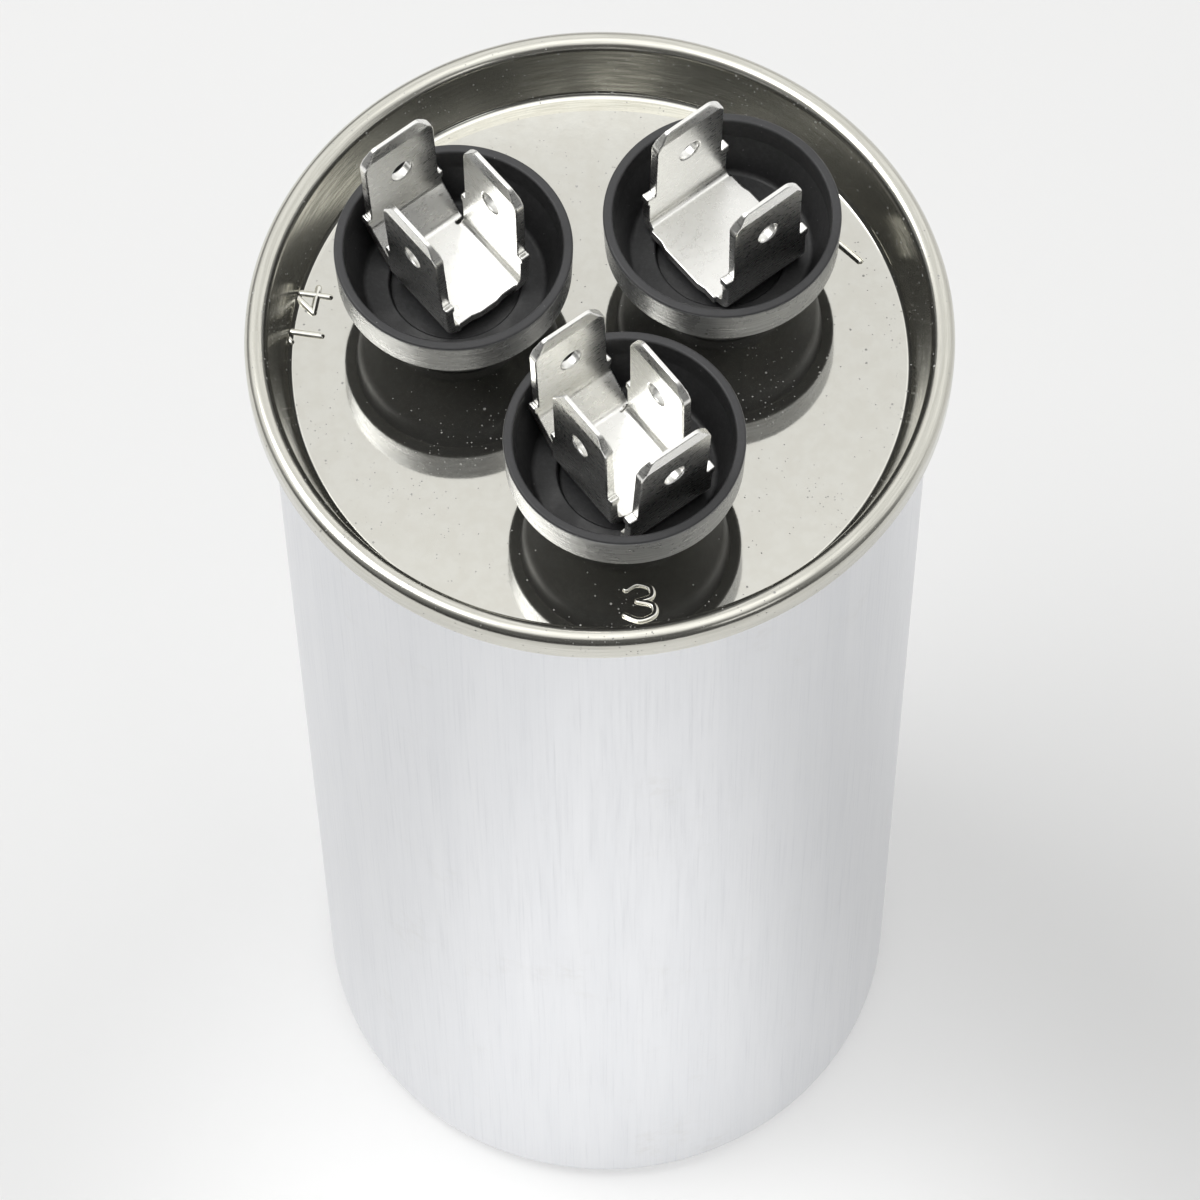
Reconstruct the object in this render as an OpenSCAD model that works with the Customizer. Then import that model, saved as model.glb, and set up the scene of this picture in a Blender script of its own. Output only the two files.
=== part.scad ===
// Motor run capacitor: two rolled film sections in one drawn can, closed by a
// double-seamed cover that carries three insulated groups of push-on tabs.
// The origin is the centre of the base, +Z runs up the can, units are millimetres.

/* [Can] */
// Outside diameter of the can wall
can_d = 50; // [49:0.5:54]
// Height from the base to the top of the seam
can_h = 108; // [100:1:160]
// Thickness of the can sheet
can_t = 0.3; // [0.25:0.01:0.31]
// Outside radius of the corner between wall and base
can_corner_r = 2.5; // [1.5:0.1:3]

/* [Seam and cover] */
// Outside diameter over the seam
seam_d = 53.34; // [53.3:0.02:53.4]
// Height of the folded seam
seam_h = 3; // [2.9:0.05:3.3]
// Thickness of the cover sheet
cover_t = 0.25; // [0.2:0.01:0.26]
// Depth of the panel below the top of the seam
panel_drop = 4.6; // [4:0.1:6]
// Lean of the countersunk wall from the vertical, in degrees
chuck_lean = 16.6; // [14:0.2:20]

/* [Insulator cups] */
// Outside radius of the band around the mouth
cup_r = 8.88; // [8.7:0.01:9]
// Height of the mouth above the panel
cup_h = 9.97; // [9.5:0.01:11]
// Height of the band around the mouth
band_h = 3.35; // [2.5:0.05:4]
// Outside radius of the bowl just below the band
bowl_r = 7.9; // [7.8:0.05:8.5]
// Radius of the foot that stands on the panel
foot_r = 5.2; // [4.8:0.1:5.6]
// Thickness of the wall at the mouth
cup_wall = 0.74; // [0.6:0.01:0.8]
// Height of the floor inside the cup above the panel
cup_floor = 4.9; // [4.8:0.05:5]

/* [Push-on tabs] */
// Width of the blade that takes a receptacle
tab_w = 6.35; // [6:0.05:6.4]
// Thickness of the terminal sheet
tab_t = 0.8; // [0.7:0.01:0.85]
// Height of the tips above the terminal plate
tab_h = 11.15; // [10.8:0.05:12]
// Length of the blade from its shoulders to its tip
blade_l = 7.6; // [7:0.1:7.8]
// Diameter of the detent hole
detent_d = 1.8; // [1.6:0.05:2]
// Distance of the detent hole from the tip
detent_l = 4.25; // [4:0.05:4.6]

/* [Winding] */
// Height of the two rolled sections
roll_h = 84; // [60:1:84]
// Outside radius of the large section
roll_r = 22.6; // [21:0.1:22.6]
// Radius at which the two sections part
split_r = 12; // [10:0.5:14]

/* [Hidden] */
$fn = 96;
eps = 0.01;

SIDES = ["common", "compressor", "fan"];

// Colours
tinplate = "gainsboro";
aluminium = "lightsteelblue";
phenolic = "#222226";
tinned_brass = "silver";
film = "wheat";
zinc = "darkgray";
card = "burlywood";
sleeving = "firebrick";

// Seam: both sheets turn over one centre line, the can inside the cover
seam_r = seam_d / 2;
rise = 90 - chuck_lean;                      // heading of the chuck wall
bead_in = 0.5;                               // inner radius of the cover's bead
bead_r = seam_r - cover_t - bead_in;         // radius of the bead's centre line
bead_z = can_h - cover_t - bead_in;          // height of the bead's centre
hook_in = 0.17;                              // inner radius of the can's hook
hook_z = bead_z - 0.25;                      // height of the can hook's centre
hook_l = 1.4;                                // straight length of the can's hook
curl_in = 0.185;                             // inner radius of the cover's curl
curl_z = can_h - seam_h + curl_in + cover_t; // height of the curl's centre
cover_hook_l = 1.3;                          // straight length of the cover's hook

// Cover
panel_z = can_h - panel_drop;                // top face of the panel
panel_bend = 0.6;                            // fillet between panel and chuck wall
chuck_l = (bead_z - panel_z + cover_t - (cover_t + panel_bend) * (1 - cos(rise))
    + bead_in * cos(rise)) / sin(rise);
panel_r = bead_r - (cover_t + panel_bend + bead_in) * sin(rise) - chuck_l * cos(rise);
panel_hole_r = 3.8;                          // hole for the neck of an insulator

// Can
can_r = can_d / 2;
flare_in = 1;                                // radius where the wall flares out
flare_l = (bead_r - can_r - flare_in * (1 - sin(rise)) - hook_in * sin(rise)) / cos(rise);
flare_z = hook_z - (flare_in - hook_in) * cos(rise) - flare_l * sin(rise);

// Insulator, from the bottom up, measured from the top face of the panel
neck_r = 3.6;
neck_z = -1.2;
recess_r = 4.9;                              // sunk seat for the stud's head
recess_z = 4.2;
foot_z = 1.2;                                // where the foot flares into the bowl
flank_r = 7.6;                               // end of the flare
flank_z = 4.4;
band_draft = 0.12;                           // the band narrows downwards by this
mouth_r = cup_r - cup_wall;
knee_r = mouth_r - 0.15;                     // where the inside starts to narrow
knee_z = 8.1;
floor_r = 6.85;
edge = 0.15;                                 // broken edge at the mouth

// Stud, washer and lug
shank_r = 1.5;
bore_r = 1.6;
head_r = 2.7;
head_h = 0.9;
washer_r = 7;
washer_h = 1.6;
lug_t = 0.6;
tail_r = 2.3;
tail_h = 0.65;
washer_z = -cover_t - washer_h;              // underside of the washer
lug_z = washer_z - lug_t;                    // underside of the lug
lug_r = 3.2;                                 // eyelet end of the lug
lug_end_r = 1.5;                             // wire end of the lug
lug_hole_r = 0.6;
lug_reach = 7.2;                             // centre of the lug's wire hole

// Terminal
plate_z = recess_z + head_h;                 // underside of the plate
fold_in = 0.5;                               // inside radius of a right-angle fold
ramp_in = 0.8;                               // inside radius of the stepped folds
ramp_tilt = 43;                              // slope of the step
ramp_l = 2.35;                               // straight length of the step
stepped_l = 8.3;                             // straight length above the step
half_x = 3.75;                               // half width of the strips on local X
half_y = 3.5;                                // half width of the strips on local Y
half_stepped = 3.4;                          // half width of a stepped strip
nub = 0.2;                                   // burr that stands out at a shoulder
nub_h = 0.7;
tip_cut = [1.4, 1.1];                        // corner cut at the tip, along and across
tip_bevel = 0.95;                            // length of the bevel at the tip
tip_land = 0.3;                              // thickness left at the tip
tongue = 0.17;                               // stands out of the middle of a cropped edge
tongue_in = 1.5;                             // distance of the tongue from the corners

// Each group: angle and radius on the cover, turn of its plate, offset of the
// plate from the stud, and the four sides [+X, +Y, -X, -Y]. A side is [kind,
// outward lean, distance from the middle of the plate to the fold or edge],
// and kind is "straight", "stepped" or "cropped".
function group(s) =
    s == "common" ? [278.1, 12.27, -53.3, [-0.1, 0],
        [["straight", 4, 4.35], ["straight", 0, 2.45], ["stepped", 2.3, 3.55], ["straight", 1, 2.62]]] :
    s == "compressor" ? [159, 11.51, -51.7, [0.23, 0.24],
        [["cropped", 0, 3.42], ["straight", 0, 2.62], ["stepped", 3, 3.8], ["straight", 3, 2.56]]] :
        [35.7, 11.33, -51.9, [-0.24, 0.48],
        [["straight", 0, 3.67], ["cropped", 0, 3.88], ["straight", -1.8, 3.85], ["cropped", 0, 4.03]]];
function group_xy(s) = group(s)[1] * [cos(group(s)[0]), sin(group(s)[0])];

// Winding stack, from the base up
tray_gap = 0.05;
tray_floor_z = can_t + tray_gap;
tray_floor_t = 1;
tray_r = can_r - can_t - 0.3;
tray_wall = 0.8;
tray_h = 9;
spray_t = 0.8;
roll_z = 4;
roll_top = roll_z + roll_h;
core_r = 4.2;
core_bore = 3;
section_gap = 0.6;                           // insulating gap between the sprays
sleeve_t = 0.4;
sleeve_in = roll_r + 0.2;
sleeve_z = 3;
sleeve_top = roll_top + 4;
disc_z = panel_z + lug_z - tail_h - 6;       // underside of the disc over the winding
disc_t = 1.5;
disc_r = can_r - can_t - 0.4;
wire_r = 0.8;
wire_sides = 12;
wire_hole_r = 1.2;
lug_wire_z = panel_z + lug_z - wire_r;       // wire soldered under the lug

// The routes of the three leads, as points in order
function lug_tip(s) = group_xy(s) * (1 - lug_reach / group(s)[1]);
function at(xy, z) = [xy[0], xy[1], z];
function ray(s, r) = r * [cos(group(s)[0]), sin(group(s)[0])];
function lead_route(s) =
    s == "common" ? [
        at(ray(s, 7), roll_z - spray_t - wire_r), [0, 0, roll_z - spray_t - wire_r],
        [0, 0, disc_z - 4], at(lug_tip(s), disc_z - 2), at(lug_tip(s), lug_wire_z)] :
    s == "compressor" ? [
        at(ray(s, 18), roll_top + spray_t + wire_r),
        at(ray(s, 16), roll_top + spray_t + wire_r),
        at(lug_tip(s), disc_z - 2), at(lug_tip(s), lug_wire_z)] : [
        at(ray(s, 10), roll_top + spray_t + wire_r),
        at(ray(s, 7), roll_top + spray_t + wire_r),
        at(lug_tip(s), disc_z - 1), at(lug_tip(s), lug_wire_z)];

// ---- Folded sheet -------------------------------------------------------

// Part of a ring from angle a0 to a1, at most 180 degrees
module sector(r_in, r_out, a0, a1) {
    far = 3 * r_out;
    mid = (a0 + a1) / 2;
    difference() {
        intersection() {
            circle(r_out);
            polygon([[0, 0], far * [cos(a0), sin(a0)],
                far * [cos((a0 + mid) / 2), sin((a0 + mid) / 2)], far * [cos(mid), sin(mid)],
                far * [cos((a1 + mid) / 2), sin((a1 + mid) / 2)], far * [cos(a1), sin(a1)]]);
        }
        circle(r_in);
    }
}

// Section of a sheet that starts along +X with its lower face on the axis.
// A step of the path is [straight length, bend angle, inner radius], and a
// positive bend turns to the left.
module sheet(path, t, i = 0) {
    if (i < len(path)) {
        step = path[i];
        r = step[2];
        if (step[0] > 0)
            translate([i > 0 ? -eps : 0, 0]) square([step[0] + (i > 0 ? eps : 0) + (step[1] == 0 ? 0 : eps), t]);
        translate([step[0], 0])
            if (step[1] > 0) {
                translate([0, t + r]) {
                    sector(r, r + t, -90, -90 + step[1]);
                    rotate(step[1]) translate([0, -t - r]) sheet(path, t, i + 1);
                }
            } else if (step[1] < 0) {
                translate([0, -r]) {
                    sector(r, r + t, 90 + step[1], 90);
                    rotate(step[1]) translate([0, r]) sheet(path, t, i + 1);
                }
            }
    }
}

module turned(z = 0) {
    translate([0, 0, z]) rotate_extrude() children();
}

// ---- Can and cover ------------------------------------------------------

module can() {
    color(aluminium)
        turned() sheet([
            [can_r - can_corner_r, 90, can_corner_r - can_t],
            [flare_z - can_corner_r, -chuck_lean, flare_in],
            [flare_l, -rise - 90, hook_in],
            [hook_l, 0, 0]
        ], can_t);
}

module cover() {
    color(tinplate)
        difference() {
            turned(panel_z - cover_t) sheet([
                [panel_r, rise, panel_bend],
                [chuck_l, -rise - 90, bead_in],
                [bead_z - curl_z, -180, curl_in],
                [cover_hook_l, 0, 0]
            ], cover_t);
            for (s = SIDES)
                translate(at(group_xy(s), panel_z - 2 * cover_t)) cylinder(h = 3 * cover_t, r = panel_hole_r);
        }
}

// Sealing compound lies in the crescent between the can's hook and the bead
module seam_compound() {
    color("dimgray")
        turned() difference() {
            translate([bead_r, bead_z]) circle(bead_in - 2 * eps);
            translate([bead_r, hook_z]) circle(hook_in + can_t + 2 * eps);
            translate([bead_r - bead_in, hook_z - bead_in]) square([2 * bead_in, bead_in + bead_z - hook_z]);
        }
}

// ---- Terminal groups ----------------------------------------------------

module at_group(s) {
    translate(at(group_xy(s), panel_z)) children();
}

module insulator(s) {
    color(phenolic)
        at_group(s) turned() polygon([
            [bore_r, neck_z], [neck_r, neck_z], [neck_r, 0], [foot_r, 0],
            [foot_r, foot_z], [flank_r, flank_z], [bowl_r, cup_h - band_h],
            [cup_r - band_draft, cup_h - band_h],
            [cup_r, cup_h - edge], [cup_r - edge, cup_h], [mouth_r + edge, cup_h],
            [mouth_r, cup_h - edge], [knee_r, knee_z], [floor_r, cup_floor],
            [recess_r, cup_floor], [recess_r, recess_z], [bore_r, recess_z]
        ]);
}

// Head under the plate, shank, and the tail that is riveted over the lug
module stud(s) {
    color(tinned_brass)
        at_group(s) {
            translate([0, 0, recess_z]) cylinder(h = head_h, r = head_r);
            translate([0, 0, lug_z]) cylinder(h = recess_z - lug_z, r = shank_r);
            translate([0, 0, lug_z - tail_h]) cylinder(h = tail_h, r1 = tail_r - 0.5, r2 = tail_r);
        }
}

// Washer under the cover, sunk on top to take the neck of the insulator
module washer(s) {
    color(phenolic)
        at_group(s) difference() {
            translate([0, 0, washer_z]) cylinder(h = washer_h, r = washer_r);
            translate([0, 0, washer_z - eps]) cylinder(h = washer_h + 1, r = bore_r);
            translate([0, 0, neck_z]) cylinder(h = -neck_z, r = neck_r + 0.1);
        }
}

// Eyelet lug that points at the can's centre line
module lug(s) {
    color(tinned_brass)
        at_group(s) rotate(group(s)[0] + 180) translate([0, 0, lug_z])
            linear_extrude(lug_t) difference() {
                union() {
                    circle(lug_r);
                    translate([0, -lug_end_r]) square([lug_reach, 2 * lug_end_r]);
                    translate([lug_reach, 0]) circle(lug_end_r);
                }
                circle(bore_r);
                translate([lug_reach, 0]) circle(lug_hole_r);
            }
}

// Puts the children at the end of a folded path that runs along +X
module at_end(path, t, i = 0) {
    if (i < len(path)) {
        step = path[i];
        translate([step[0], 0, t + step[2]]) rotate([0, -step[1], 0])
            translate([0, 0, -t - step[2]]) at_end(path, t, i + 1) children();
    } else {
        children();
    }
}

// What is cut from one edge of a strip to leave the blade, whose length is l
module blade_edge_cut(l, half_w) {
    neck = l - blade_l;
    far = half_w + 5;
    translate([0, 0, -tab_t]) linear_extrude(3 * tab_t)
        polygon([
            [neck, tab_w / 2], [l - tip_cut[0], tab_w / 2], [l, tab_w / 2 - tip_cut[1]],
            [l + 1, tab_w / 2 - tip_cut[1]], [l + 1, far], [neck, far]
        ]);
    translate([neck - nub_h - 20, half_w, -20]) cube([20, 5, 40]);
}

// What is cut from a strip to bevel the tip of the blade and to bore its hole
module blade_tip_cut(l) {
    bevel = (tab_t - tip_land) / 2;
    rotate([90, 0, 0]) linear_extrude(2 * tab_w, center = true) {
        polygon([[l - tip_bevel, 0], [l, bevel], [l + 1, bevel], [l + 1, -1], [l - tip_bevel, -1]]);
        polygon([[l - tip_bevel, tab_t], [l, tab_t - bevel], [l + 1, tab_t - bevel],
            [l + 1, tab_t + 1], [l - tip_bevel, tab_t + 1]]);
    }
    translate([l - detent_l, 0, -tab_t]) cylinder(h = 3 * tab_t, r = detent_d / 2);
}

// A tab from the edge of the plate outwards along +X; l is its straight blade
module tab(path, l, half_w) {
    difference() {
        rotate([90, 0, 0]) linear_extrude(2 * (half_w + nub), center = true)
            sheet(concat(path, [[l, 0, 0]]), tab_t);
        at_end(path, tab_t) {
            blade_edge_cut(l, half_w);
            mirror([0, 1, 0]) blade_edge_cut(l, half_w);
            blade_tip_cut(l);
        }
    }
}

// One side of a terminal, from the edge of the plate outwards along +X. A
// strip is 2 * half_w wide, and a cropped edge is 2 * edge_l long.
module side(kind, lean, edge_l, half_w) {
    if (kind == "straight")
        tab([[0, 90 - lean, fold_in]], tab_h - fold_in, half_w);
    else if (kind == "stepped")
        tab([[0, ramp_tilt, ramp_in], [ramp_l, 90 - lean - ramp_tilt, ramp_in]], stepped_l, half_stepped);
    else
        linear_extrude(tab_t) polygon([
            [-1, tongue_in - edge_l], [0, tongue_in - edge_l], [tongue, tongue_in + tongue - edge_l],
            [tongue, edge_l - tongue_in - tongue], [0, edge_l - tongue_in], [-1, edge_l - tongue_in]
        ]);
}

module terminal(s) {
    sides = group(s)[4];
    edge_at = [for (side = sides) side[2]];
    color(tinned_brass)
        at_group(s) rotate(group(s)[2]) translate(at(group(s)[3], plate_z))
            union() {
                translate([-edge_at[2], -edge_at[3], 0])
                    cube([edge_at[0] + edge_at[2], edge_at[1] + edge_at[3], tab_t]);
                for (i = [0:3])
                    rotate(90 * i) translate([edge_at[i], 0, 0])
                        side(sides[i][0], sides[i][1], min(edge_at[(i + 1) % 4], edge_at[(i + 3) % 4]),
                            i % 2 == 0 ? half_x : half_y);
            }
}

// ---- Inside the can -----------------------------------------------------

module tube(r_out, r_in, h, z) {
    translate([0, 0, z]) difference() {
        cylinder(h = h, r = r_out);
        translate([0, 0, -1]) cylinder(h = h + 2, r = r_in);
    }
}

// Tube along a route whose bends all turn about one axis, with mitred corners
module tube_along(route, axis, r) {
    last = len(route) - 1;
    heading = [for (i = [0:last - 1]) (route[i + 1] - route[i]) / norm(route[i + 1] - route[i])];
    points = [for (i = [0:last])
        let (sum = heading[max(i - 1, 0)] + heading[min(i, last - 1)])
        for (k = [0:wire_sides - 1])
            let (a = 360 * k / wire_sides)
            route[i] + r * cos(a) * axis + r * sin(a) * 2 / norm(sum) * cross(sum / norm(sum), axis)];
    polyhedron(points, [
        [for (k = [0:wire_sides - 1]) k],
        [for (k = [wire_sides - 1:-1:0]) last * wire_sides + k],
        for (i = [0:last - 1], k = [0:wire_sides - 1])
            let (a = i * wire_sides + k, b = i * wire_sides + (k + 1) % wire_sides)
            [a, a + wire_sides, b + wire_sides, b]
    ]);
}

module lead(s) {
    color(sleeving)
        tube_along(lead_route(s), [-sin(group(s)[0]), cos(group(s)[0]), 0], wire_r);
}

module top_disc() {
    color(card)
        difference() {
            translate([0, 0, disc_z]) cylinder(h = disc_t, r = disc_r);
            for (s = SIDES)
                translate(at(lug_tip(s), disc_z - 1)) cylinder(h = disc_t + 2, r = wire_hole_r);
        }
}

module winding_compressor() {
    color(film) tube(roll_r, split_r + section_gap / 2, roll_h, roll_z);
}

module winding_fan() {
    color(film) tube(split_r - section_gap / 2, core_r, roll_h, roll_z);
}

module core_tube() {
    color(card) tube(core_r, core_bore, roll_h + spray_t, roll_z);
}

module end_spray_compressor() {
    color(zinc) tube(roll_r, split_r + section_gap, spray_t, roll_top);
}

module end_spray_fan() {
    color(zinc) tube(split_r - section_gap, core_r, spray_t, roll_top);
}

module end_spray_common() {
    color(zinc) tube(roll_r, core_bore, spray_t, roll_z - spray_t);
}

module winding_sleeve() {
    color("ivory") tube(sleeve_in + sleeve_t, sleeve_in, sleeve_top - sleeve_z, sleeve_z);
}

module bottom_tray() {
    cut = can_corner_r;
    color(phenolic)
        turned(tray_floor_z) polygon([
            [0, 0], [tray_r - cut, 0], [tray_r, cut], [tray_r, tray_h],
            [tray_r - tray_wall, tray_h], [tray_r - tray_wall, cut],
            [tray_r - cut - 0.4, tray_floor_t], [0, tray_floor_t]
        ]);
}

can();
cover();
seam_compound();
for (s = SIDES) {
    insulator(s);
    terminal(s);
    stud(s);
    washer(s);
    lug(s);
    lead(s);
}
top_disc();
winding_compressor();
winding_fan();
core_tube();
end_spray_compressor();
end_spray_fan();
end_spray_common();
winding_sleeve();
bottom_tray();
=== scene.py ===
"""Blender scene of the motor run capacitor: camera, light, floor, materials and dressed pieces."""
import math

import bmesh
import bpy
from mathutils import Matrix, Vector


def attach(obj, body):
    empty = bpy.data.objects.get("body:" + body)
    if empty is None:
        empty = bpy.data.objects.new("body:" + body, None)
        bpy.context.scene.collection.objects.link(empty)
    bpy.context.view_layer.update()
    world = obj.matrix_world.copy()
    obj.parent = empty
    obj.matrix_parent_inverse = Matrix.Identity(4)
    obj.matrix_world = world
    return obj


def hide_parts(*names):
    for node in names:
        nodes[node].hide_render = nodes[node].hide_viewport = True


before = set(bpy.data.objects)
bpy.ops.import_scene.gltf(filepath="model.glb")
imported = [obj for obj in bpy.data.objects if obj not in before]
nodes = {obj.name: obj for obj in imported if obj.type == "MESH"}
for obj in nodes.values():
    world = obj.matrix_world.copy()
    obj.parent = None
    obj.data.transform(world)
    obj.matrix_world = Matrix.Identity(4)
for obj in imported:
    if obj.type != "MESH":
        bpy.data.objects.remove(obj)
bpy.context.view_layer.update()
scene = bpy.context.scene

MM = 0.001
SIDES = ("common", "compressor", "fan")

# ---- Camera ---------------------------------------------------------------

camera = bpy.data.objects.new("camera", bpy.data.cameras.new("camera"))
scene.collection.objects.link(camera)
camera.data.sensor_width = 36
camera.data.lens = 170.85
camera.data.clip_start, camera.data.clip_end = 0.01, 20
forward = Vector((-0.00048, 0.45916, -0.88835)).normalized()
right = Vector((0.99993, -0.01028, -0.00585))
right = (right - right.dot(forward) * forward).normalized()
up = right.cross(forward)
camera.matrix_world = Matrix.Translation((0, -0.21267, 0.47547)) @ Matrix(
    (right, up, -forward)).transposed().to_4x4()
scene.camera = camera


# ---- Sizes of the part, in millimetres ------------------------------------

CAN_R, CAN_SHEET, CAN_CORNER = 25.0, 0.3, 2.5
CAN_TOP, SEAM_R, SEAM_H = 108.25, 26.5, 2.5
COVER_SHEET, PANEL_Z, PANEL_BEND = 0.25, 103.4, 0.6
LEAN = 16.6
RISE = 90 - LEAN
BEAD_IN, HOOK_IN, CURL_IN = 0.66, 0.17, 0.185
BEAD_R = SEAM_R - COVER_SHEET - BEAD_IN
BEAD_Z = CAN_TOP - COVER_SHEET - BEAD_IN
HOOK_Z = BEAD_Z - 0.2
CURL_Z = CAN_TOP - SEAM_H + CURL_IN + COVER_SHEET
FLARE_IN = 1.0
CAN_HOOK, COVER_HOOK = 0.9, 0.75
HOLE_R = 3.8
CAN_SIDES, CUP_SIDES, HOLE_SIDES = 256, 160, 64
GROUPS = {"common": (278.1, 12.27), "compressor": (159.0, 11.51), "fan": (35.7, 11.33)}
CENTRES = {side: (reach * math.cos(math.radians(turn)), reach * math.sin(math.radians(turn)))
           for side, (turn, reach) in GROUPS.items()}


def sin_of(degrees):
    return math.sin(math.radians(degrees))


def cos_of(degrees):
    return math.cos(math.radians(degrees))


# ---- Turned shapes --------------------------------------------------------
# A profile is a list of runs. A run is a list of (r, z, normal r, normal z),
# and one strip of faces joins each point of a run to the next.

def arc(centre, radius, start, sweep, outward, step=9.0):
    """Run along an arc, from the angle start through sweep degrees."""
    count = max(2, round(abs(sweep) / step))
    run = []
    for i in range(count + 1):
        c, d = cos_of(start + sweep * i / count), sin_of(start + sweep * i / count)
        run.append((centre[0] + radius * c, centre[1] + radius * d, outward * c, outward * d))
    return run


def line(a, b):
    """Run along a straight line whose solid lies on its left."""
    length = math.hypot(b[0] - a[0], b[1] - a[1])
    normal = ((b[1] - a[1]) / length, (a[0] - b[0]) / length)
    return [(*a, *normal), (*b, *normal)]


def folded(start, path, sheet, first=0.0):
    """Profile of a sheet that starts along +r; each step is (length, bend, inside radius)."""
    under, over = [], []
    (x, z), heading = start, first
    for length, bend, inside in path:
        c, d = cos_of(heading), sin_of(heading)
        if length > 0:
            x2, z2 = x + length * c, z + length * d
            under.append(line((x, z), (x2, z2)))
            over.append(line((x2 - sheet * d, z2 + sheet * c), (x - sheet * d, z + sheet * c)))
            x, z = x2, z2
        if bend > 0:
            centre = (x - (sheet + inside) * d, z + (sheet + inside) * c)
            under.append(arc(centre, sheet + inside, heading - 90, bend, 1))
            over.append(arc(centre, inside, heading - 90 + bend, -bend, -1))
            x, z = under[-1][-1][:2]
        elif bend < 0:
            centre = (x + inside * d, z - inside * c)
            under.append(arc(centre, inside, heading + 90, bend, -1))
            over.append(arc(centre, sheet + inside, heading + 90 + bend, -bend, 1))
            x, z = under[-1][-1][:2]
        heading += bend
    end = line(under[-1][-1][:2], over[-1][0][:2])
    return under + [end] + over[::-1]


def rounded(points):
    """Closed profile through (r, z, corner radius), counter-clockwise."""
    corners = []
    for i, (x, z, radius) in enumerate(points):
        before, here = Vector(points[i - 1][:2]), Vector((x, z))
        after = Vector(points[(i + 1) % len(points)][:2])
        a, b = (before - here).normalized(), (after - here).normalized()
        if radius == 0:
            corners.append([here, here, None])
            continue
        half = a.angle(b) / 2
        reach = radius / math.tan(half)
        centre = here + (a + b).normalized() * radius / math.sin(half)
        first, last = here + a * reach, here + b * reach
        start = math.degrees(math.atan2(*(first - centre).yx))
        sweep = (math.degrees(math.atan2(*(last - centre).yx)) - start + 180) % 360 - 180
        outward = 1 if sweep > 0 else -1
        corners.append([first, last, arc(centre, radius, start, sweep, outward, 22.5)])
    runs = []
    for i, (_, last, bend) in enumerate(corners):
        if bend:
            runs.append(bend)
        runs.append(line(tuple(last), tuple(corners[(i + 1) % len(corners)][0])))
    return runs


class Shape:
    """Faces with the exact normal at every corner."""

    def __init__(self):
        self.points, self.known, self.faces, self.normals = [], {}, [], []

    def vertex(self, point):
        for nudge in (0, 0.0001, -0.0001):
            key = tuple(round(v + nudge, 3) for v in point)
            if key in self.known:
                return self.known[key]
        self.known[key] = self.known[tuple(round(v, 3) for v in point)] = len(self.points)
        self.points.append(tuple(v * MM for v in point))
        return self.known[key]

    def face(self, points, normals):
        ids, kept = [], []
        for point, normal in zip(points, normals):
            i = self.vertex(point)
            if i not in ids:
                ids.append(i)
                kept.append(normal)
        if len(ids) > 2:
            self.faces.append(ids)
            self.normals.extend(kept)

    def turn(self, runs, sides, centre=(0, 0), base=0.0):
        """Turns the profile round the vertical axis through the centre."""
        ring = [(math.cos(math.tau * i / sides), math.sin(math.tau * i / sides)) for i in range(sides)]
        for run in runs:
            for (r0, z0, a0, b0), (r1, z1, a1, b1) in zip(run, run[1:]):
                for i in range(sides):
                    (c, d), (e, f) = ring[i], ring[(i + 1) % sides]
                    self.face([(centre[0] + r0 * c, centre[1] + r0 * d, base + z0),
                               (centre[0] + r0 * e, centre[1] + r0 * f, base + z0),
                               (centre[0] + r1 * e, centre[1] + r1 * f, base + z1),
                               (centre[0] + r1 * c, centre[1] + r1 * d, base + z1)],
                              [(a0 * c, a0 * d, b0), (a0 * e, a0 * f, b0),
                               (a1 * e, a1 * f, b1), (a1 * c, a1 * d, b1)])

    def build(self, name):
        mesh = bpy.data.meshes.new(name)
        mesh.from_pydata(self.points, [], self.faces)
        mesh.shade_smooth()
        mesh.normals_split_custom_set([Vector(n).normalized() for n in self.normals])
        piece = bpy.data.objects.new(name, mesh)
        scene.collection.objects.link(piece)
        return piece


def circle(centre, radius, sides):
    return [(centre[0] + radius * math.cos(math.tau * i / sides),
             centre[1] + radius * math.sin(math.tau * i / sides)) for i in range(sides)]


def holed_disc(shape, rim, holes, z, up):
    """Flat face at height z inside the rim and outside the holes."""
    bm = bmesh.new()
    for loop in (rim, *holes):
        verts = [bm.verts.new((x, y, z)) for x, y in loop]
        for a, b in zip(verts, verts[1:] + verts[:1]):
            bm.edges.new((a, b))
    bmesh.ops.triangle_fill(bm, edges=bm.edges[:], use_beauty=True, normal=(0, 0, up))
    for face in bm.faces:
        points = [tuple(v.co) for v in face.verts]
        if face.normal.z * up < 0:
            points.reverse()
        shape.face(points, [(0, 0, up)] * len(points))
    bm.free()


def make_can_shell():
    flare_l = (BEAD_R - CAN_R - FLARE_IN * (1 - sin_of(RISE)) - HOOK_IN * sin_of(RISE)) / cos_of(RISE)
    flare_z = HOOK_Z - (FLARE_IN - HOOK_IN) * cos_of(RISE) - flare_l * sin_of(RISE)
    shape = Shape()
    shape.turn(folded((0, 0), [
        (CAN_R - CAN_CORNER, 90, CAN_CORNER - CAN_SHEET),
        (flare_z - CAN_CORNER, -LEAN, FLARE_IN),
        (flare_l, -RISE - 90, HOOK_IN),
        (CAN_HOOK, 0, 0)], CAN_SHEET), CAN_SIDES)
    return shape.build("drawn_can")


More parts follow.
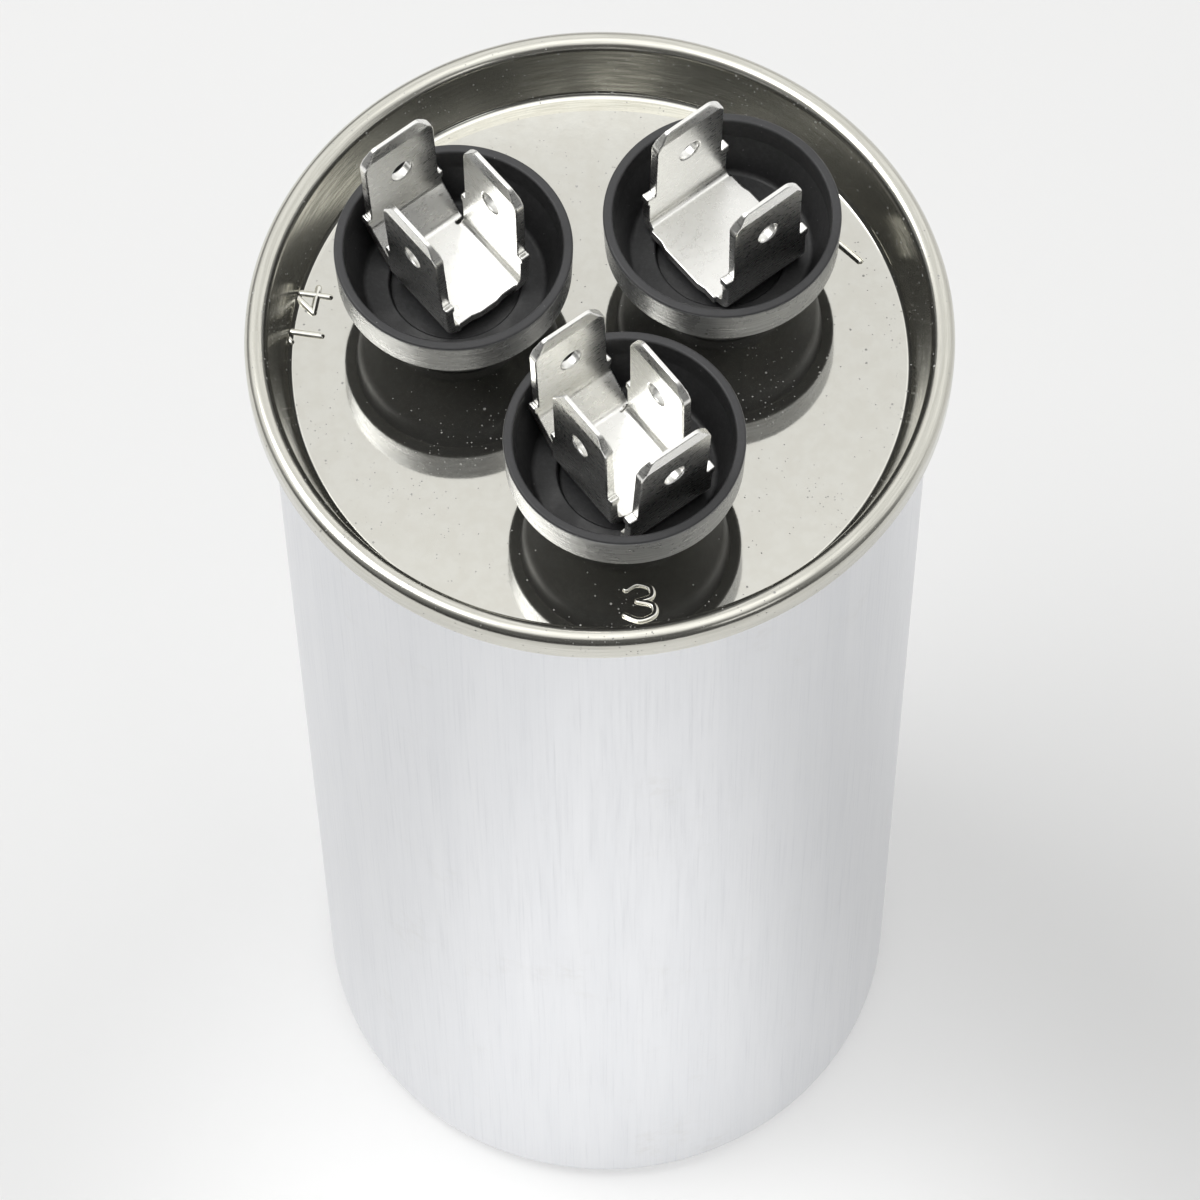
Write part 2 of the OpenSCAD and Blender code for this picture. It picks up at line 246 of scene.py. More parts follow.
def make_cover():
    chuck_l = (BEAD_Z - PANEL_Z + COVER_SHEET - (COVER_SHEET + PANEL_BEND) * (1 - cos_of(RISE))
               + BEAD_IN * cos_of(RISE)) / sin_of(RISE)
    panel_r = BEAD_R - (COVER_SHEET + PANEL_BEND + BEAD_IN) * sin_of(RISE) - chuck_l * cos_of(RISE)
    flat_r = panel_r - 1
    below = PANEL_Z - COVER_SHEET
    shape = Shape()
    shape.turn(folded((flat_r, below), [
        (panel_r - flat_r, RISE, PANEL_BEND),
        (chuck_l, -RISE - 90, BEAD_IN),
        (BEAD_Z - CURL_Z, -180, CURL_IN),
        (COVER_HOOK, 0, 0)], COVER_SHEET), CAN_SIDES)
    rim = circle((0, 0), flat_r, CAN_SIDES)
    holes = [circle(CENTRES[side], HOLE_R, HOLE_SIDES) for side in SIDES]
    holed_disc(shape, rim, holes, PANEL_Z, 1)
    holed_disc(shape, rim, holes, below, -1)
    for side, hole in zip(SIDES, holes):
        for (x0, y0), (x1, y1) in zip(hole, hole[1:] + hole[:1]):
            ins = [((CENTRES[side][0] - x) / HOLE_R, (CENTRES[side][1] - y) / HOLE_R, 0)
                   for x, y in ((x0, y0), (x1, y1))]
            shape.face([(x1, y1, below), (x0, y0, below), (x0, y0, PANEL_Z), (x1, y1, PANEL_Z)],
                       [ins[1], ins[0], ins[0], ins[1]])
    return shape.build("seamed_cover")


# Radii of a cup, and heights above the panel
BORE_R, NECK_R, NECK_Z = 1.6, 3.6, -1.2
FOOT_R, FOOT_Z = 5.2, 1.2
FLANK_R, FLANK_Z = 7.6, 4.4
BOWL_R, BAND_LOW_R, BAND_Z = 7.9, 8.76, 6.62
CUP_R, MOUTH_R, CUP_H = 8.88, 8.14, 9.97
KNEE_R, KNEE_Z = 7.99, 8.1
FLOOR_R, FLOOR_Z = 6.85, 4.9
RECESS_R, RECESS_Z = 4.9, 4.2


def make_cup(side):
    shape = Shape()
    shape.turn(rounded([
        (BORE_R, NECK_Z, 0), (NECK_R, NECK_Z, 0.1), (NECK_R, 0, 0),
        (FOOT_R, 0, 0.2), (FOOT_R, FOOT_Z, 0.8), (FLANK_R, FLANK_Z, 2),
        (BOWL_R, BAND_Z, 0.1), (BAND_LOW_R, BAND_Z, 0.14), (CUP_R, CUP_H, 0.22),
        (MOUTH_R, CUP_H, 0.2), (KNEE_R, KNEE_Z, 1), (FLOOR_R, FLOOR_Z, 0.5),
        (RECESS_R, FLOOR_Z, 0.2), (RECESS_R, RECESS_Z, 0.15), (BORE_R, RECESS_Z, 0.05),
    ]), CUP_SIDES, CENTRES[side], PANEL_Z)
    return shape.build("cup_" + side)


# ---- Folded terminals -----------------------------------------------------
# A terminal is drawn flat and then folded. A side is (kind, outward lean,
# distance from the middle of the plate to the fold, half width of the strip).

SHEET = 0.8
PLATE_Z = PANEL_Z + 5.1
BLADE_HALF, BLADE_L, TAB_H, STEPPED_L = 3.175, 7.6, 11.15, 8.3
FOLD_IN, STEP_IN = 0.5, 0.8         # inside radii of the folds
STEP_TILT, STEP_L = 43, 2.35        # slope and length of the step
TIP_CUT_L, TIP_CUT_W = 1.4, 1.1     # corner cut at the tip, along and across
BEVEL_L, TIP_LAND = 0.95, 0.375     # bevel at the tip, and the share of the sheet left there
BEVEL_TURN = 0.26                   # turns the faces' normals towards the tip on the bevel
DETENT_R, DETENT_L = 0.9, 4.25      # radius of the detent hole and its distance from the tip
DETENT_SIDES = 28
NUB = 0.2                           # burr that stands out at a shoulder
TONGUE = 0.17                       # stands out of the middle of a cropped edge
EDGE_ROUND = 0.15
TERMINALS = {
    "common": (-53.3, (-0.1, 0), [("straight", 4, 4.35, 3.75), ("straight", 0, 2.45, 3.5),
                                  ("stepped", 2.3, 3.55, 3.4), ("straight", 1, 2.62, 3.5)]),
    "compressor": (-51.7, (0.23, 0.24), [("cropped", 0, 3.42, 0), ("straight", 0, 2.62, 3.5),
                                         ("stepped", 3, 3.8, 3.4), ("straight", 3, 2.56, 3.5)]),
    "fan": (-51.9, (-0.24, 0.48), [("straight", 0, 3.67, 3.75), ("cropped", 0, 3.88, 0),
                                   ("straight", -1.8, 3.85, 3.75), ("cropped", 0, 4.03, 0)])}


def fold_path(kind, lean):
    """Steps (length, bend, inside radius) from the edge of the plate to the tip."""
    if kind == "straight":
        return [(0, 90 - lean, FOLD_IN), (TAB_H - FOLD_IN, 0, 0)]
    return [(0, STEP_TILT, STEP_IN), (STEP_L, 90 - STEP_TILT - lean, STEP_IN), (STEPPED_L, 0, 0)]


def flat_length(path):
    return sum(length + math.radians(bend) * (inside + SHEET / 2) for length, bend, inside in path)


def fold_lines(path):
    """Distances from the edge of the plate at which the flat sheet is cut to bend smoothly."""
    lines, u = [], 0.0
    for length, bend, inside in path:
        u += length
        if bend:
            whole = math.radians(bend) * (inside + SHEET / 2)
            count = max(2, round(bend / 7.5))
            lines += [u + whole * k / count for k in range(count + 1)]
            u += whole
    return lines


def fold(path, u, w):
    """Place and heading of the point at distance u and height w over the sheet's lower face."""
    x = z = heading = 0.0
    for length, bend, inside in path:
        c, d = cos_of(heading), sin_of(heading)
        if u <= length or (length, bend) == path[-1][:2]:
            return x + u * c - w * d, z + u * d + w * c, heading
        u -= length
        x, z = x + length * c, z + length * d
        whole = math.radians(bend) * (inside + SHEET / 2)
        centre = (x - (SHEET + inside) * d, z + (SHEET + inside) * c)
        turned = heading + bend * min(1.0, u / whole)
        if u <= whole:
            reach = SHEET + inside - w
            return centre[0] + reach * sin_of(turned), centre[1] - reach * cos_of(turned), turned
        u -= whole
        heading += bend
        x = centre[0] + (SHEET + inside) * sin_of(heading)
        z = centre[1] - (SHEET + inside) * cos_of(heading)


def flat_outline(sides):
    """Outline of the flat terminal as (x, y, corner radius), anticlockwise."""
    out = []
    for i, (kind, lean, edge, half) in enumerate(sides):
        def put(u, v, radius, i=i, edge=edge):
            x, y = edge + u, v
            for _ in range(i):
                x, y = -y, x
            out.append((x, y, radius))
        after, before = sides[(i + 1) % 4][2], sides[(i - 1) % 4][2]
        if kind == "cropped":
            span = min(after, before)
            put(0, -before, 0.2)
            for u, v in ((0, 1.1 - span), (TONGUE, 1.8 - span), (TONGUE, span - 1.8), (0, span - 1.1)):
                put(u, v, 0)
            put(0, after, 0.2)
            continue
        tip = flat_length(fold_path(kind, lean))
        neck = tip - BLADE_L
        put(0, -before, 0.2)
        half_side = [(0, half, 0.2), (neck - 0.85, half, 0), (neck - 0.6, half + NUB, 0.17),
                     (neck + 0.05, half + NUB, 0.17), (neck - 0.1, BLADE_HALF, 0.1),
                     (tip - TIP_CUT_L, BLADE_HALF, 0.9), (tip, BLADE_HALF - TIP_CUT_W, 0.7)]
        for u, v, radius in half_side:
            put(u, -v, radius)
        for u, v, radius in half_side[::-1]:
            put(u, v, radius)
        put(0, after, 0.2)
    kept = []
    for point in out:
        if not kept or math.dist(point[:2], kept[-1][:2]) > 0.02:
            kept.append(point)
    if math.dist(kept[0][:2], kept[-1][:2]) <= 0.02:
        kept.pop()
    return kept


def round_corners(points):
    """Points of the outline with its corners rounded, each with its outward normal."""
    out = []
    for i, (x, y, radius) in enumerate(points):
        before, here = Vector(points[i - 1][:2]), Vector((x, y))
        after = Vector(points[(i + 1) % len(points)][:2])
        a, b = (before - here), (after - here)
        half = a.normalized().angle(b.normalized()) / 2
        reach = min(radius / math.tan(half), 0.45 * a.length, 0.45 * b.length)
        radius = reach * math.tan(half)
        a.normalize()
        b.normalize()
        if radius < 0.01 or half > math.radians(88):
            n = Vector((-a.y, a.x)) if half > math.radians(88) else -(a + b).normalized()
            if n.dot(Vector((-a.y, a.x))) < 0:
                n = -n
            out.append((here, n))
            continue
        centre = here + (a + b).normalized() * radius / math.sin(half)
        start, end = here + a * reach, here + b * reach
        sign = 1 if (-a).cross(b) > 0 else -1
        count = 4 if radius < 0.3 else 6
        first, last = (start - centre).normalized(), (end - centre).normalized()
        for k in range(count + 1):
            direction = first.slerp(last, k / count)
            out.append((centre + direction * radius, direction * sign))
    return out


def turned_back(i, x, y):
    """A flat point or direction in the frame of side i, whose strip runs along +X."""
    return ((x, y), (y, -x), (-x, -y), (-y, x))[i]


def side_of(sides, x, y):
    """Side index, distance from its fold and distance along it, or None on the plate."""
    for i, (kind, lean, edge, half) in enumerate(sides):
        u, v = turned_back(i, x, y)
        if kind != "cropped" and u > edge + 1e-5 and abs(v) < half + 0.25:
            return i, u - edge, v
    return None


def make_terminal(side):
    turn, offset, sides = TERMINALS[side]
    yaw = Matrix.Rotation(math.radians(turn), 2)
    centre = Vector(CENTRES[side])
    loops = [round_corners(flat_outline(sides))]
    cuts = []
    for i, (kind, lean, edge, half) in enumerate(sides):
        if kind == "cropped":
            continue
        path = fold_path(kind, lean)
        tip = flat_length(path)
        axis = Vector(turned_back((4 - i) % 4, 1, 0))
        cuts += [(axis, edge + u) for u in fold_lines(path) + [tip - BEVEL_L]]
        ring = [Vector((math.cos(a), math.sin(a)))
                for a in (-math.tau * k / DETENT_SIDES for k in range(DETENT_SIDES))]
        loops.append([(axis * (edge + tip - DETENT_L) + n * DETENT_R, -n) for n in ring])

    bm = bmesh.new()
    layer = bm.loops.layers.float_vector.new("normal")
    known = {}

    def add(corners):
        ids, kept = [], []
        for x, y, w, n in corners:
            key = (round(x, 4), round(y, 4), round(w, 4))
            if key not in known:
                known[key] = bm.verts.new(key)
            if known[key] not in ids:
                ids.append(known[key])
                kept.append(n)
        if len(ids) > 2:
            for corner, n in zip(bm.faces.new(ids).loops, kept):
                corner[layer] = n

    levels = [(EDGE_ROUND * (1 - sin_of(a)), EDGE_ROUND * (1 - cos_of(a)), sin_of(a), -cos_of(a))
              for a in (0, 30, 60, 90)]
    levels += [(inset, SHEET - w, level, -nw) for inset, w, level, nw in levels[::-1]]
    for loop in loops:
        for (p, n), (q, m) in zip(loop, loop[1:] + loop[:1]):
            for (i0, w0, f0, g0), (i1, w1, f1, g1) in zip(levels, levels[1:]):
                add([(*(p - n * i0), w0, (*(n * f0), g0)), (*(q - m * i0), w0, (*(m * f0), g0)),
                     (*(q - m * i1), w1, (*(m * f1), g1)), (*(p - n * i1), w1, (*(n * f1), g1))])
    flat = bmesh.new()
    for loop in loops:
        verts = [flat.verts.new((*(p - n * EDGE_ROUND), 0)) for p, n in loop]
        for a, b in zip(verts, verts[1:] + verts[:1]):
            flat.edges.new((a, b))
    bmesh.ops.triangle_fill(flat, edges=flat.edges[:], use_beauty=True, normal=(0, 0, 1))
    for face in flat.faces:
        points = [tuple(v.co.xy) for v in face.verts]
        if face.normal.z < 0:
            points.reverse()
        add([(*p, SHEET, (0, 0, 1)) for p in points])
        add([(*p, 0, (0, 0, -1)) for p in points[::-1]])
    flat.free()
    for axis, level in cuts:
        bmesh.ops.bisect_plane(bm, geom=bm.verts[:] + bm.edges[:] + bm.faces[:], dist=1e-4,
                               plane_co=(*(axis * level), 0), plane_no=(*axis, 0))

    def place(x, y, w, normal, at_tip):
        """World place and normal of a corner of the flat shape."""
        spot = side_of(sides, x, y)
        if spot:
            i, u, v = spot
            edge = sides[i][2]
            path = fold_path(*sides[i][:2])
            nu, nv = turned_back(i, normal[0], normal[1])
            from_tip = flat_length(path) - u
            if from_tip < BEVEL_L:
                w = SHEET / 2 + (w - SHEET / 2) * (TIP_LAND + (1 - TIP_LAND) * from_tip / BEVEL_L)
            if at_tip:
                nu += BEVEL_TURN * abs(normal[2])
            reach, rise, heading = fold(path, u, w)
            c, d = cos_of(heading), sin_of(heading)
            x, y = turned_back((4 - i) % 4, edge + reach, v)
            nx, ny = turned_back((4 - i) % 4, nu * c - normal[2] * d, nv)
            normal, w = (nx, ny, nu * d + normal[2] * c), rise
        ground = yaw @ Vector((x + offset[0], y + offset[1])) + centre
        return (*ground, PLATE_Z + w), (*(yaw @ Vector(normal[:2])), normal[2])

    shape = Shape()
    for face in bm.faces:
        middle = face.calc_center_median()
        spot = side_of(sides, middle.x, middle.y)
        at_tip = bool(spot) and flat_length(fold_path(*sides[spot[0]][:2])) - spot[1] < BEVEL_L
        placed = [place(*corner.vert.co, corner[layer], at_tip) for corner in face.loops]
        shape.face([p for p, _ in placed], [n for _, n in placed])
    bm.free()
    return shape.build("tabs_" + side)


# ---- Raised figures -------------------------------------------------------

def smooth_stroke(points, per=6):
    """Points of a stroke with its corners drawn round."""
    if len(points) < 3:
        return [Vector(p) for p in points]
    ends = [points[0], *points, points[-1]]
    out = []
    for i in range(len(points) - 1):
        p0, p1, p2, p3 = (Vector(p) for p in ends[i:i + 4])
        for k in range(per):
            t = k / per
            out.append(0.5 * (2 * p1 + (p2 - p0) * t + (2 * p0 - 5 * p1 + 4 * p2 - p3) * t * t
                              + (3 * p1 - p0 - 3 * p2 + p3) * t ** 3))
    return out + [Vector(points[-1])]


def ridge(bm, stroke):
    """Half-round ridge along a stroke, with round ends."""
    pts = smooth_stroke(stroke)
    headings = [(pts[min(i + 1, len(pts) - 1)] - pts[max(i - 1, 0)]).normalized() for i in range(len(pts))]
    rows = [(pts[0] - headings[0] * RIDGE_HALF * cos_of(a), headings[0], sin_of(a)) for a in (12, 35, 60)]
    rows += [(p, h, 1.0) for p, h in zip(pts, headings)]
    rows += [(pts[-1] + headings[-1] * RIDGE_HALF * cos_of(a), headings[-1], sin_of(a)) for a in (60, 35, 12)]
    rings = []
    for place, heading, swell in rows:
        across = Vector((-heading.y, heading.x))
        ring = []
        for k in range(9):
            flat = place + across * RIDGE_HALF * swell * cos_of(180 * k / 8)
            z = PANEL_Z - RIDGE_SUNK + RIDGE_H * swell * sin_of(180 * k / 8)
            ring.append(bm.verts.new((flat.x * MM, flat.y * MM, z * MM)))
        rings.append(ring)
    for a, b in zip(rings, rings[1:]):
        for k in range(8):
            bm.faces.new((a[k], b[k], b[k + 1], a[k + 1]))
        bm.faces.new((a[8], b[8], b[0], a[0]))
    bm.faces.new(rings[0])
    bm.faces.new(rings[-1][::-1])


FIGURE_H, FIGURE_W, FIGURE_GAP = 3.0, 2.2, 0.9
RIDGE_HALF, RIDGE_H, RIDGE_SUNK = 0.27, 0.24, 0.02
FIGURES = {
    "1": [[(0.15, 0.72), (0.55, 1)], [(0.55, 1), (0.55, 0)]],
    "3": [[(0.05, 0.85), (0.4, 1), (0.85, 0.9), (0.9, 0.65), (0.45, 0.53)],
          [(0.45, 0.53), (0.95, 0.42), (0.98, 0.15), (0.5, 0), (0.02, 0.14)]],
    "4": [[(0.7, 1), (0, 0.32)], [(0, 0.32), (1, 0.32)], [(0.7, 1), (0.7, 0)]],
    "7": [[(0, 1), (1, 1)], [(1, 1), (0.35, 0)]],
}


def make_figures(name, text, place, turn):
    """Raised figures on the panel; place is the middle of the first one's foot, turn the way they read."""
    bm = bmesh.new()
    along = Vector((cos_of(turn), sin_of(turn)))
    upward = Vector((-along.y, along.x))
    for i, figure in enumerate(text):
        corner = Vector(place) + along * (i * (FIGURE_W + FIGURE_GAP) - FIGURE_W / 2)
        for stroke in FIGURES[figure]:
            ridge(bm, [corner + along * x * FIGURE_W + upward * y * FIGURE_H for x, y in stroke])
    bmesh.ops.recalc_face_normals(bm, faces=bm.faces[:])
    mesh = bpy.data.meshes.new(name)
    bm.to_mesh(mesh)
    bm.free()
    mesh.shade_smooth()
    piece = bpy.data.objects.new(name, mesh)
    scene.collection.objects.link(piece)
    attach(piece, "root")
    return piece


# ---- Node helpers ---------------------------------------------------------

class Shader:
    """Short calls that add nodes to one material's or world's tree."""

    def __init__(self, owner):
        owner.use_nodes = True
        self.tree = owner.node_tree
        self.tree.nodes.clear()

    def add(self, kind, inputs=None, **settings):
        node = self.tree.nodes.new(kind)
        for key, value in settings.items():
            setattr(node, key, value)
        for key, value in (inputs or {}).items():
            self.put(node.inputs[key], value)
        return node

    def put(self, socket, value):
        if isinstance(value, bpy.types.NodeSocket):
            self.tree.links.new(value, socket)
        elif isinstance(value, bpy.types.Node):
            self.tree.links.new(value.outputs[0], socket)
        else:
            socket.default_value = value

    def math(self, operation, a, b=0.0):
        return self.add("ShaderNodeMath", {0: a, 1: b}, operation=operation).outputs[0]

    def times(self, *factors):
        product = factors[0]
        for factor in factors[1:]:
            product = self.math("MULTIPLY", product, factor)
        return product

    def ramp(self, value, low, high, to_low=0.0, to_high=1.0):
        return self.add("ShaderNodeMapRange", {"Value": value, "From Min": low, "From Max": high,
                                               "To Min": to_low, "To Max": to_high},
                        interpolation_type="SMOOTHSTEP").outputs["Result"]

    def mix(self, factor, a, b):
        node = self.add("ShaderNodeMix", data_type="RGBA")
        self.put(node.inputs["Factor"], factor)
        self.put(node.inputs["A"], a)
        self.put(node.inputs["B"], b)
        return node.outputs["Result"]

    def noise(self, vector, scale, detail=4.0, rough=0.55):
        return self.add("ShaderNodeTexNoise", {"Vector": vector, "Scale": scale, "Detail": detail,
                                               "Roughness": rough}).outputs["Fac"]

    def scaled(self, vector, x, y, z):
        return self.add("ShaderNodeVectorMath", {0: vector, 1: (x, y, z)},
                        operation="MULTIPLY").outputs[0]

    def millimetres(self):
        """Position on the object in millimetres; every object has its origin at the part's origin."""
        place = self.add("ShaderNodeTexCoord").outputs["Object"]
        return self.scaled(place, 1000, 1000, 1000)

    def split(self, vector):
        return self.add("ShaderNodeSeparateXYZ", {0: vector}).outputs

    def join(self, x, y, z):
        return self.add("ShaderNodeCombineXYZ", {0: x, 1: y, 2: z}).outputs[0]

    def bump(self, height, strength, distance=0.0002):
        return self.add("ShaderNodeBump", {"Height": height, "Strength": strength,
                                           "Distance": distance}).outputs[0]

    def principled(self, **inputs):
        shader = self.add("ShaderNodeBsdfPrincipled")
        for key, value in inputs.items():
            self.put(shader.inputs[key.replace("_", " ")], value)
        self.add("ShaderNodeOutputMaterial", {"Surface": shader})


def material(name):
    made = bpy.data.materials.new(name)
    return made, Shader(made)


def grey(v):
    return (v, v, v, 1)


# ---- Materials ------------------------------------------------------------

def dust(s, place, scale, chance, largest):
    """1 on sparse fine specks, 0 elsewhere; chance may be a socket."""
    cells = s.add("ShaderNodeTexVoronoi", {"Vector": place, "Scale": scale})
    colour = s.split(cells.outputs["Color"])
    present = s.math("LESS_THAN", colour[0], chance)
    inside = s.math("LESS_THAN", cells.outputs["Distance"], s.times(colour[1], largest))
    return s.times(present, inside)


def radius_of(s, x, y):
    return s.math("SQRT", s.math("ADD", s.times(x, x), s.times(y, y)))


def around_can(s, x, y):
    """Distance round the wall in millimetres."""
    return s.times(s.math("ARCTAN2", y, x), CAN_R)


def make_tinplate():
    """Mirror-bright panel with dust, and a rolled, slightly duller wall and seam whose darker, streaked colour
    is painted shade standing in for their dark reflection.
    """
    mat, s = material("bright_tinplate")
    place = s.millimetres()
    x, y, z = s.split(place)
    radius = radius_of(s, x, y)
    rolled = s.math("MAXIMUM", s.ramp(radius, 23.2, 23.7), s.ramp(z, 103.7, 104.0))
    around = around_can(s, x, y)
    streaks = s.noise(s.join(s.times(around, 0.25), s.times(z, 5.0), s.times(radius, 5.0)), 1.0, 4, 0.6)
    mottle = s.noise(place, 0.7, 4, 0.6)
    crowd = s.ramp(s.noise(place, 0.16, 2), 0.42, 0.62, 0.08, 0.55)
    speck = s.math("MAXIMUM", dust(s, place, 1.7, s.times(crowd, 0.7), 0.20), dust(s, place, 3.6, crowd, 0.24))
    tone = s.mix(s.ramp(mottle, 0.35, 0.65), (0.815, 0.80, 0.735, 1), (0.845, 0.835, 0.775, 1))
    # Painted shade: the rolled wall and seam are darkened to an olive grey, streaked, in place of their dark
    # reflection.
    tone = s.mix(s.times(rolled, s.ramp(streaks, 0.35, 0.7, 0.4, 1.0)), tone, (0.45, 0.445, 0.40, 1))
    tone = s.mix(s.ramp(radius, 24.4, 24.9, 0.0, 0.6), tone, (0.72, 0.705, 0.64, 1))
    tone = s.mix(s.times(speck, 0.9), tone, (0.42, 0.42, 0.40, 1))
    rough = s.math("ADD", s.times(rolled, s.ramp(streaks, 0.3, 0.7, 0.10, 0.17)), 0.05)
    rough = s.math("ADD", rough, s.times(speck, 0.5))
    height = s.math("ADD", s.times(streaks, rolled, 0.6), s.times(mottle, 0.10))
    s.principled(Base_Color=tone, Metallic=s.math("SUBTRACT", 0.97, s.times(speck, 0.82)),
                 Roughness=rough, Normal=s.bump(height, 0.06))
    return mat


def make_can():
    """Drawn aluminium: fine lines that run up the wall and a few faint rubs."""
    mat, s = material("drawn_aluminium")
    place = s.millimetres()
    x, y, z = s.split(place)
    around = around_can(s, x, y)
    lines = s.noise(s.join(s.times(around, 4.0), s.times(z, 0.06), 0.0), 1.0, 5, 0.7)
    wide = s.noise(s.join(s.times(around, 0.35), s.times(z, 0.015), 3.0), 1.0, 3)
    cloudy = s.noise(s.scaled(place, 0.11, 0.11, 0.09), 1.0, 5, 0.65)
    rub = s.times(s.ramp(cloudy, 0.55, 0.72), s.ramp(s.noise(place, 0.7, 4, 0.7), 0.4, 0.65))
    tone = s.mix(wide, (0.77, 0.78, 0.805, 1), (0.845, 0.85, 0.867, 1))
    tone = s.mix(s.times(rub, 0.30), tone, (0.70, 0.69, 0.67, 1))
    tone = s.mix(s.times(s.ramp(lines, 0.5, 0.75), 0.30), tone, (0.66, 0.67, 0.70, 1))
    height = s.math("ADD", lines, s.times(wide, 0.4))
    s.principled(Base_Color=tone, Metallic=1.0, Roughness=s.ramp(lines, 0.3, 0.7, 0.32, 0.42),
                 Normal=s.bump(height, 0.10))
    return mat


def make_insulator():
    """Black moulding with a polished band round the mouth, painted with a sheen: a light grey, partly metallic
    colour streaked by turning marks and scuffs.
    """
    mat, s = material("black_moulding")
    place = s.millimetres()
    x, y, z = s.split(place)
    above = s.math("SUBTRACT", z, PANEL_Z)
    grain = s.noise(place, 3.0, 6, 0.7)
    cloudy = s.noise(place, 0.35, 4, 0.6)
    rings = s.noise(s.join(s.times(x, 0.25), s.times(y, 0.25), s.times(z, 9.0)), 1.0, 5, 0.7)
    flat = s.math("ABSOLUTE", s.split(s.add("ShaderNodeNewGeometry").outputs["Normal"])[2])
    outer = 1000.0
    for centre in CENTRES.values():
        radius = radius_of(s, s.math("SUBTRACT", x, centre[0]), s.math("SUBTRACT", y, centre[1]))
        outer = s.math("MINIMUM", outer, s.math("ABSOLUTE", s.math("SUBTRACT", radius, 8.85)))
    band = s.times(s.ramp(outer, 0.3, 0.15), s.times(s.ramp(above, 6.5, 6.7), s.ramp(flat, 0.6, 0.3)))
    scuffs_and_sheen = s.times(band, s.ramp(s.math("ADD", rings, s.times(cloudy, 0.5)), 0.55, 1.0))
    speck = dust(s, place, 2.2, 0.22, 0.10)
    tone = s.mix(s.ramp(grain, 0.4, 0.8), (0.022, 0.022, 0.023, 1), (0.040, 0.040, 0.042, 1))
    tone = s.mix(s.times(s.ramp(above, 9.7, 9.9), 0.5), tone, (0.055, 0.055, 0.058, 1))
    # Painted sheen: the band is drawn towards a light grey, streaked by turning marks and scuffs, in place of
    # its reflection.
    tone = s.mix(s.math("ADD", s.times(scuffs_and_sheen, 0.55), s.times(band, 0.45)), tone, (0.40, 0.405, 0.41, 1))
    tone = s.mix(s.times(speck, 0.8), tone, (0.40, 0.40, 0.40, 1))
    rough = s.math("SUBTRACT", s.ramp(cloudy, 0.3, 0.7, 0.42, 0.56), s.times(band, 0.22))
    # Painted reflection: the band is made partly metallic so that its grey colour shines like metal.
    metal = s.times(band, s.ramp(rings, 0.3, 0.8, 0.35, 0.85))
    height = s.math("ADD", s.times(grain, 0.5), s.times(rings, band, 0.6))
    s.principled(Base_Color=tone, Metallic=metal, Roughness=rough, Normal=s.bump(height, 0.22))
    return mat


def make_tab_metal():
    """Tinned brass sheet with a satin face."""
    mat, s = material("tinned_sheet")
    place = s.millimetres()
    broad = s.noise(place, 0.5, 4, 0.6)
    fine = s.noise(s.scaled(place, 1.5, 1.5, 6.0), 1.0, 6, 0.7)
    speck = dust(s, place, 2.4, 0.25, 0.09)
    tone = s.mix(broad, (0.92, 0.915, 0.88, 1), (0.97, 0.965, 0.94, 1))
    tone = s.mix(s.times(speck, 0.7), tone, (0.45, 0.44, 0.42, 1))
    height = s.math("ADD", s.times(fine, 0.4), s.times(broad, 0.5))
    s.principled(Base_Color=tone, Metallic=1.0, Roughness=s.ramp(fine, 0.3, 0.75, 0.25, 0.35),
                 Normal=s.bump(height, 0.035))
    return mat


def make_plain(name, low, high, rough, scale=1.0, stretch=(1, 1, 1), metallic=0.0, depth=0.2):
    """A noise-toned surface for the pieces inside the can."""
    mat, s = material(name)
    place = s.scaled(s.millimetres(), *stretch)
    fine = s.noise(place, scale, 5, 0.65)
    tone = s.mix(s.ramp(fine, 0.3, 0.7), (*low, 1), (*high, 1))
    s.principled(Base_Color=tone, Metallic=metallic, Roughness=s.ramp(fine, 0.3, 0.7, rough, rough + 0.12),
                 Normal=s.bump(fine, depth))
    return mat


def make_film():
    """Fine turns of film round the centre line."""
    mat, s = material("rolled_film")
    x, y, z = s.split(s.millimetres())
    turns = s.math("SINE", s.times(radius_of(s, x, y), 30.0))
    tone = s.mix(s.ramp(turns, -1, 1), (0.66, 0.58, 0.38, 1), (0.80, 0.73, 0.54, 1))
    s.principled(Base_Color=tone, Roughness=0.3, Normal=s.bump(turns, 0.2, 0.0001))
    return mat


tinplate = make_tinplate()
tab_metal = make_tab_metal()
MATERIALS = {
    "can": make_can(),
    "cover": tinplate,
    "seam_compound": make_plain("seam_compound", (0.05, 0.05, 0.05), (0.09, 0.09, 0.09), 0.6),
    "insulator": make_insulator(),
    "terminal": tab_metal,
    "stud": tab_metal,
    "lug": tab_metal,
    "washer": make_plain("washer_moulding", (0.02, 0.02, 0.022), (0.035, 0.035, 0.04), 0.45, 2.0),
    "lead": make_plain("lead_sleeve", (0.42, 0.03, 0.02), (0.55, 0.05, 0.03), 0.4, 3.0),
    "top_disc": make_plain("pressboard", (0.45, 0.33, 0.18), (0.62, 0.48, 0.30), 0.8, 2.0, depth=0.5),
    "winding": make_film(),
    "core_tube": make_plain("core_paper", (0.50, 0.38, 0.22), (0.62, 0.49, 0.31), 0.7, 1.0, (1, 1, 4)),
    "end_spray": make_plain("zinc_spray", (0.34, 0.34, 0.35), (0.55, 0.55, 0.56), 0.65, 4.0,
                            metallic=0.6, depth=0.8),
    "winding_sleeve": make_plain("sleeve_paper", (0.66, 0.62, 0.52), (0.76, 0.72, 0.62), 0.7, 0.8,
                                 (3, 3, 0.3)),
    "bottom_tray": make_plain("tray_moulding", (0.02, 0.02, 0.022), (0.03, 0.03, 0.034), 0.5, 2.0),
}


